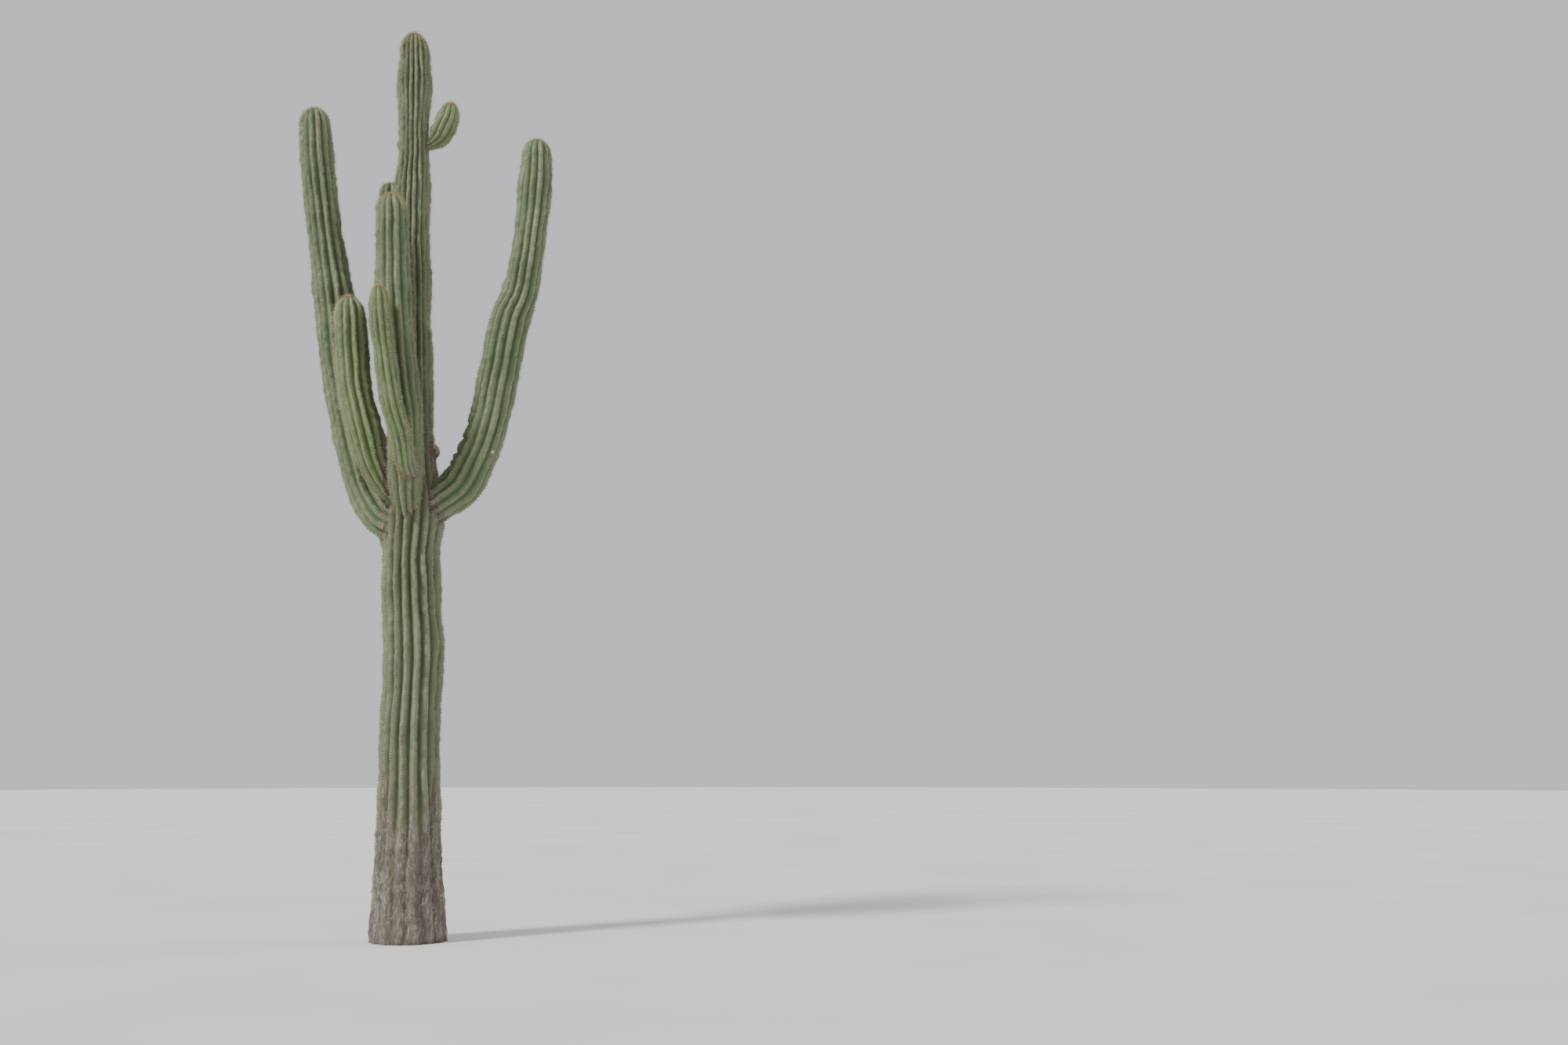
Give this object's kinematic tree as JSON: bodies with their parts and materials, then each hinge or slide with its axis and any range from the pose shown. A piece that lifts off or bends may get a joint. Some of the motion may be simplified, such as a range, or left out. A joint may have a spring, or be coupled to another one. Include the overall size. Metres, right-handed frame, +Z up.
{
  "type": "saguaro cactus",
  "caption": "Tall columnar desert cactus: a pleated trunk forks at mid height into upright arms, with a budding pup near the top; rooted at a flat cut.",
  "frame": {"origin": "middle of the flat cut under the trunk, at ground level", "axes": "+Z up along the trunk; -Y is the front, towards the picture's camera; +X is to the right in the picture"},
  "size_m": [2.4472, 1.2557, 8.316],
  "materials": {
    "old_skin": "matte",
    "arm_skin": "matte",
    "young_skin": "matte",
    "spines": "matte",
    "crown_wool": "matte"
  },
  "bodies": {
    "root": {"trunk": "old_skin", "left_arm_elbow": "arm_skin", "left_arm_upright": "arm_skin", "right_arm_elbow": "arm_skin", "right_arm_upright": "arm_skin", "front_arm": "arm_skin", "back_arm": "arm_skin", "short_left_arm": "young_skin", "slim_front_arm": "young_skin", "upper_pup": "young_skin", "side_bud": "young_skin"}
  },
  "joints": []
}
